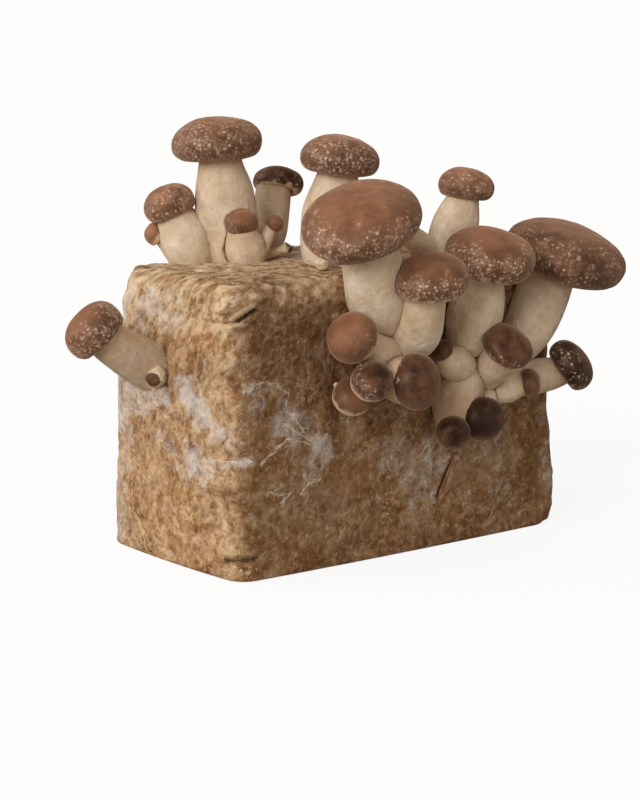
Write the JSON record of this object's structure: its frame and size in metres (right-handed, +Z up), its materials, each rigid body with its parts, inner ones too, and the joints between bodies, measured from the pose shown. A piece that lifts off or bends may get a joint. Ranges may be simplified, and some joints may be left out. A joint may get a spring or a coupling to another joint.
{
  "type": "shiitake fruiting block",
  "caption": "Rectangular sawdust growing block with clusters of brown-capped shiitake mushrooms fruiting from its top, front and left end.",
  "frame": {"origin": "centre of the block's flat underside", "axes": "+X along the block's long side, -Y out of the long face that carries the large cluster, +Z up"},
  "size_m": [0.2774, 0.1624, 0.2098],
  "materials": {
    "substrate": "rough pressed sawdust, ochre to dark brown, with a white mycelium bloom",
    "cap_skin": "soft satin reddish brown skin with pale flecks towards the margin",
    "stem_flesh": "matt cream flesh with faint long fibres"
  },
  "bodies": {
    "root": {"substrate_block": "substrate", "cap_oval_front": "cap_skin", "cap_button_centre": "cap_skin", "cap_button_lower": "cap_skin", "cap_button_left": "cap_skin", "cap_button_under": "cap_skin", "cap_big_front": "cap_skin", "cap_button_right": "cap_skin", "cap_middle_right": "cap_skin", "cap_brown_low": "cap_skin", "cap_dark_low": "cap_skin", "cap_tucked": "cap_skin", "cap_side_right": "cap_skin", "cap_bud_right": "cap_skin", "cap_broad_right": "cap_skin", "cap_round_left": "cap_skin", "cap_bud_left": "cap_skin", "cap_leaning_left": "cap_skin", "cap_hidden_left": "cap_skin", "cap_tall_left": "cap_skin", "cap_back_left": "cap_skin", "cap_tall_middle": "cap_skin", "cap_tall_back": "cap_skin", "cap_hidden_middle": "cap_skin", "cap_lone_side": "cap_skin", "stem_oval_front": "stem_flesh", "stem_button_centre": "stem_flesh", "stem_button_lower": "stem_flesh", "stem_button_left": "stem_flesh", "stem_button_under": "stem_flesh", "stem_big_front": "stem_flesh", "stem_button_right": "stem_flesh", "stem_middle_right": "stem_flesh", "stem_brown_low": "stem_flesh", "stem_dark_low": "stem_flesh", "stem_tucked": "stem_flesh", "stem_side_right": "stem_flesh", "stem_bud_right": "stem_flesh", "stem_broad_right": "stem_flesh", "stem_round_left": "stem_flesh", "stem_bud_left": "stem_flesh", "stem_leaning_left": "stem_flesh", "stem_hidden_left": "stem_flesh", "stem_tall_left": "stem_flesh", "stem_back_left": "stem_flesh", "stem_tall_middle": "stem_flesh", "stem_tall_back": "stem_flesh", "stem_hidden_middle": "stem_flesh", "stem_lone_side": "stem_flesh", "bud_lying": "stem_flesh", "bud_middle": "stem_flesh", "bud_side": "stem_flesh"}
  },
  "joints": []
}
